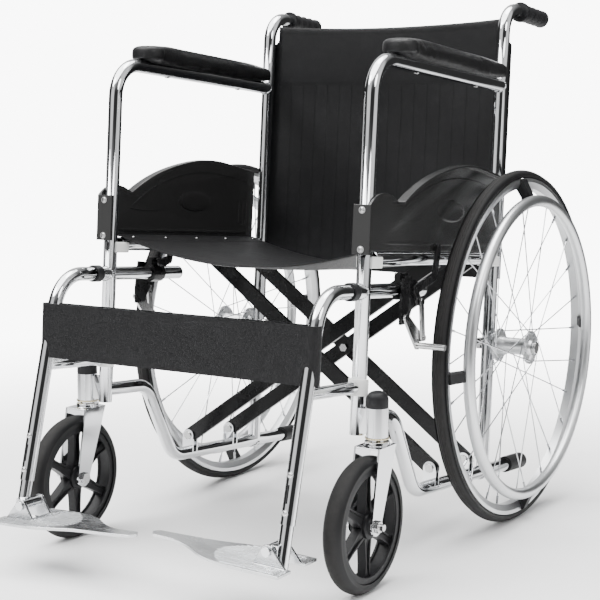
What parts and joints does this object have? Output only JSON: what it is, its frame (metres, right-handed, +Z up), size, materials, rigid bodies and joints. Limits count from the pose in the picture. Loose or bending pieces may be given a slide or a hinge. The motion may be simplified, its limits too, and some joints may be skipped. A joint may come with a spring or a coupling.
{
  "type": "manual wheelchair",
  "caption": "Folding self-propelled wheelchair with a cross-braced tube frame, sling seat and back, armrests, push brakes, swivel castors and flip-up footplates.",
  "frame": {"origin": "on the floor, under the centre of the chair's bounding box", "axes": "+Z up, the user faces -Y, +X is the user's left, the rear axle runs along X"},
  "size_m": [0.653, 0.9967, 0.8787],
  "materials": {
    "chrome_tube": "mirror chrome plate on round steel tube",
    "black_plastic": "fine moulded texture",
    "white_nylon": "slightly translucent white nylon",
    "zinc_hardware": "bright zinc-plated hardware",
    "black_enamel": "gloss black stove enamel",
    "gloss_guard": "glossy black moulded panel",
    "black_vinyl_pad": "soft black polyurethane skin",
    "black_grip": "soft black grip, satin",
    "black_rubber": "matt black rubber",
    "tyre_rubber": "dark grey-black tyre rubber",
    "silver_rim": "satin silver",
    "steel_spoke": "drawn stainless wire",
    "cast_aluminium": "polished cast top",
    "black_vinyl": "black vinyl upholstery with fine grain"
  },
  "bodies": {
    "right_side": {"side_frame_right": "chrome_tube", "frame_caps_right": "black_plastic", "nylon_saddles_right": "white_nylon", "footrest_hanger_right": "chrome_tube", "footplate_post_right": "chrome_tube", "rear_axle_right": "zinc_hardware", "brake_clamp_right": "black_enamel", "skirt_guard_right": "gloss_guard", "arm_pad_right": "black_vinyl_pad", "push_grip_right": "black_grip", "tip_cap_right": "black_rubber", "brace_pins_right": "zinc_hardware", "back_sling": "black_vinyl", "calf_strap": "black_vinyl"},
    "left_side": {"side_frame_left": "chrome_tube", "frame_caps_left": "black_plastic", "nylon_saddles_left": "white_nylon", "footrest_hanger_left": "chrome_tube", "footplate_post_left": "chrome_tube", "rear_axle_left": "zinc_hardware", "brake_clamp_left": "black_enamel", "skirt_guard_left": "gloss_guard", "arm_pad_left": "black_vinyl_pad", "push_grip_left": "black_grip", "tip_cap_left": "black_rubber", "brace_pins_left": "zinc_hardware"},
    "brace_a": {"brace_a": "black_enamel", "seat_rail_left": "chrome_tube", "brace_bolts": "zinc_hardware"},
    "brace_b": {"brace_b": "black_enamel", "seat_rail_right": "chrome_tube"},
    "seat": {"seat_sling": "black_vinyl"},
    "rear_wheel_right": {"rear_tyre_right": "tyre_rubber", "rear_rim_right": "silver_rim", "rear_spokes_right": "steel_spoke", "rear_hub_right": "silver_rim", "handrim_right": "silver_rim", "handrim_spacers_right": "black_plastic"},
    "castor_fork_right": {"castor_fork_right": "chrome_tube", "castor_axle_right": "zinc_hardware"},
    "castor_wheel_right": {"castor_wheel_right": "black_plastic", "castor_tyre_right": "tyre_rubber"},
    "brake_lever_right": {"brake_lever_right": "black_enamel"},
    "brake_link_right": {"brake_link_right": "black_enamel"},
    "brake_shoe_right": {"brake_shoe_right": "black_enamel"},
    "footplate_right": {"footplate_right": "cast_aluminium"},
    "rear_wheel_left": {"rear_tyre_left": "tyre_rubber", "rear_rim_left": "silver_rim", "rear_spokes_left": "steel_spoke", "rear_hub_left": "silver_rim", "handrim_left": "silver_rim", "handrim_spacers_left": "black_plastic"},
    "castor_fork_left": {"castor_fork_left": "chrome_tube", "castor_axle_left": "zinc_hardware"},
    "castor_wheel_left": {"castor_wheel_left": "black_plastic", "castor_tyre_left": "tyre_rubber"},
    "brake_lever_left": {"brake_lever_left": "black_enamel"},
    "brake_link_left": {"brake_link_left": "black_enamel"},
    "brake_shoe_left": {"brake_shoe_left": "black_enamel"},
    "footplate_left": {"footplate_left": "cast_aluminium"}
  },
  "joints": [
    {"name": "fold", "type": "hinge", "parent": "right_side", "child": "brace_a", "pos_m": [-0.2354, 0.18717, 0.10754], "axis": [0, -0.9972, 0.075], "range_deg": [0, 45.5], "deforming": ["seat_sling", "back_sling", "calf_strap"]},
    {"name": "brace_cross", "type": "hinge", "parent": "brace_a", "child": "brace_b", "pos_m": [0, 0.19981, 0.27556], "axis": [0, -0.9972, 0.075], "range_deg": [-91, 0]},
    {"name": "left_foot", "type": "hinge", "parent": "brace_b", "child": "left_side", "pos_m": [0.2354, 0.18717, 0.10754], "axis": [0, -0.9972, 0.075], "range_deg": [0, 45.5]},
    {"name": "seat_level", "type": "hinge", "parent": "brace_a", "child": "seat", "pos_m": [0.2354, 0.21244, 0.44359], "axis": [0, -0.9972, 0.075], "range_deg": [-45.5, 0]},
    {"name": "footplate_flip_right", "type": "hinge", "parent": "right_side", "child": "footplate_right", "pos_m": [-0.2214, -0.44742, 0.098], "axis": [0, -1, 0], "range_deg": [0, 93]},
    {"name": "wheel_spin_right", "type": "hinge", "parent": "right_side", "child": "rear_wheel_right", "pos_m": [-0.287, 0.20142, 0.297], "axis": [1, 0, 0], "continuous": true},
    {"name": "castor_swivel_right", "type": "hinge", "parent": "right_side", "child": "castor_fork_right", "pos_m": [-0.2704, -0.25258, 0.24], "axis": [0, 0, 1], "continuous": true},
    {"name": "castor_spin_right", "type": "hinge", "parent": "castor_fork_right", "child": "castor_wheel_right", "pos_m": [-0.2704, -0.28908, 0.1], "axis": [1, 0, 0], "continuous": true},
    {"name": "brake_right", "type": "hinge", "parent": "right_side", "child": "brake_lever_right", "pos_m": [-0.256, -0.11058, 0.421], "axis": [1, 0, 0], "range_deg": [0, 24]},
    {"name": "brake_link_right", "type": "hinge", "parent": "brake_lever_right", "child": "brake_link_right", "pos_m": [-0.261, -0.09958, 0.402], "axis": [1, 0, 0], "range_deg": [-26.7, 0]},
    {"name": "brake_shoe_right", "type": "hinge", "parent": "right_side", "child": "brake_shoe_right", "pos_m": [-0.256, -0.13958, 0.381], "axis": [1, 0, 0], "range_deg": [0, 7.2]},
    {"name": "footplate_flip_left", "type": "hinge", "parent": "left_side", "child": "footplate_left", "pos_m": [0.2214, -0.44742, 0.098], "axis": [0, 1, 0], "range_deg": [0, 93]},
    {"name": "wheel_spin_left", "type": "hinge", "parent": "left_side", "child": "rear_wheel_left", "pos_m": [0.287, 0.20142, 0.297], "axis": [1, 0, 0], "continuous": true},
    {"name": "castor_swivel_left", "type": "hinge", "parent": "left_side", "child": "castor_fork_left", "pos_m": [0.2704, -0.25258, 0.24], "axis": [0, 0, 1], "continuous": true},
    {"name": "castor_spin_left", "type": "hinge", "parent": "castor_fork_left", "child": "castor_wheel_left", "pos_m": [0.2704, -0.28908, 0.1], "axis": [1, 0, 0], "continuous": true},
    {"name": "brake_left", "type": "hinge", "parent": "left_side", "child": "brake_lever_left", "pos_m": [0.256, -0.11058, 0.421], "axis": [1, 0, 0], "range_deg": [0, 24]},
    {"name": "brake_link_left", "type": "hinge", "parent": "brake_lever_left", "child": "brake_link_left", "pos_m": [0.261, -0.09958, 0.402], "axis": [1, 0, 0], "range_deg": [-26.7, 0]},
    {"name": "brake_shoe_left", "type": "hinge", "parent": "left_side", "child": "brake_shoe_left", "pos_m": [0.256, -0.13958, 0.381], "axis": [1, 0, 0], "range_deg": [0, 7.2]}
  ],
  "couplings": [
    {"joint": "brace_cross", "follows": "fold", "ratio": -2},
    {"joint": "left_foot", "follows": "fold", "ratio": 1},
    {"joint": "seat_level", "follows": "fold", "ratio": -1},
    {"joint": "footplate_flip_right", "follows": "fold", "ratio": 2.043},
    {"joint": "brake_link_right", "follows": "brake_right", "ratio": -1.11},
    {"joint": "brake_shoe_right", "follows": "brake_right", "ratio": 0.3},
    {"joint": "footplate_flip_left", "follows": "fold", "ratio": 2.043},
    {"joint": "brake_link_left", "follows": "brake_left", "ratio": -1.11},
    {"joint": "brake_shoe_left", "follows": "brake_left", "ratio": 0.3}
  ]
}
